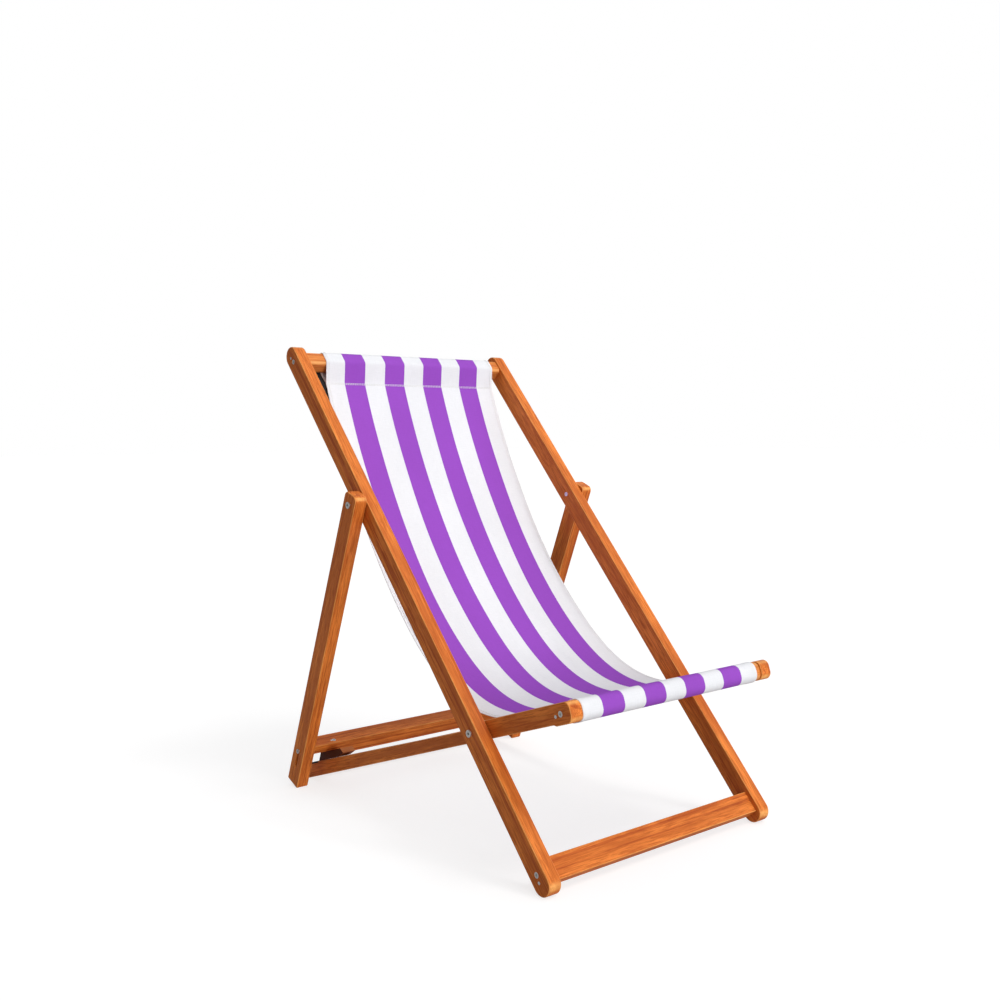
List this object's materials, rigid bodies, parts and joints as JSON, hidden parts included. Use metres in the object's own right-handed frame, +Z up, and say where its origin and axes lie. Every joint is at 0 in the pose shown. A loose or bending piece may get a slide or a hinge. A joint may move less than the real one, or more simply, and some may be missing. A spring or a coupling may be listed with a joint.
{
  "type": "folding deck chair",
  "caption": "Folding wooden deck chair with a leaning back frame, a seat frame, a rear prop frame and a striped canvas sling hung between two cross bars.",
  "frame": {"origin": "on the floor under the middle of the chair's length and width, legs standing", "axes": "+Z up, +Y to the rear, -Y is the front where the sitter's knees are, +X to the right seen from the front"},
  "size_m": [0.589, 0.8152, 0.8774],
  "materials": {
    "oiled_hardwood": "oiled, satin",
    "pale_hardwood": "oiled, satin",
    "dark_hardwood": "oiled, matt",
    "striped_canvas": "plain weave",
    "black_webbing": "ribbed weave",
    "pad_rubber": "matt",
    "zinc_steel": "bright zinc"
  },
  "bodies": {
    "back_frame": {"back_rail_left": "oiled_hardwood", "back_rail_right": "oiled_hardwood", "top_cloth_bar": "pale_hardwood", "foot_board": "oiled_hardwood", "sling": "striped_canvas", "hang_loop": "black_webbing", "top_bar_screws": "zinc_steel", "top_bar_pins": "zinc_steel", "foot_board_screws": "zinc_steel", "foot_board_pins": "zinc_steel", "seat_pivot_bolts": "zinc_steel", "seat_pivot_nuts": "zinc_steel", "seat_pivot_washers": "zinc_steel", "prop_pivot_bolts": "zinc_steel", "prop_pivot_nuts": "zinc_steel", "prop_pivot_washers": "zinc_steel"},
    "seat_frame": {"seat_rail_left": "oiled_hardwood", "seat_rail_right": "oiled_hardwood", "front_cloth_bar": "pale_hardwood", "rear_board": "oiled_hardwood", "rest_pad_left": "pad_rubber", "rest_pad_right": "pad_rubber", "front_bar_screws": "zinc_steel", "front_bar_pins": "zinc_steel", "rear_board_screws": "zinc_steel"},
    "prop_frame": {"prop_leg_left": "oiled_hardwood", "prop_leg_right": "oiled_hardwood", "prop_bar": "oiled_hardwood", "rest_block_left": "dark_hardwood", "rest_block_right": "dark_hardwood", "rest_block_screws": "zinc_steel", "rest_block_pins": "zinc_steel", "slot_bolts": "zinc_steel"}
  },
  "joints": [
    {"name": "prop_swing", "type": "hinge", "parent": "back_frame", "child": "prop_frame", "pos_m": [0, 0.12871, 0.57678], "axis": [1, 0, 0], "range_deg": [0, 116]},
    {"name": "seat_fold", "type": "hinge", "parent": "back_frame", "child": "seat_frame", "pos_m": [0, -0.19127, 0.21765], "axis": [1, 0, 0], "range_deg": [0, 67.4], "deforming": ["sling"]}
  ],
  "couplings": [
    {"joint": "seat_fold", "follows": "prop_swing", "ratio": 0.58103}
  ]
}
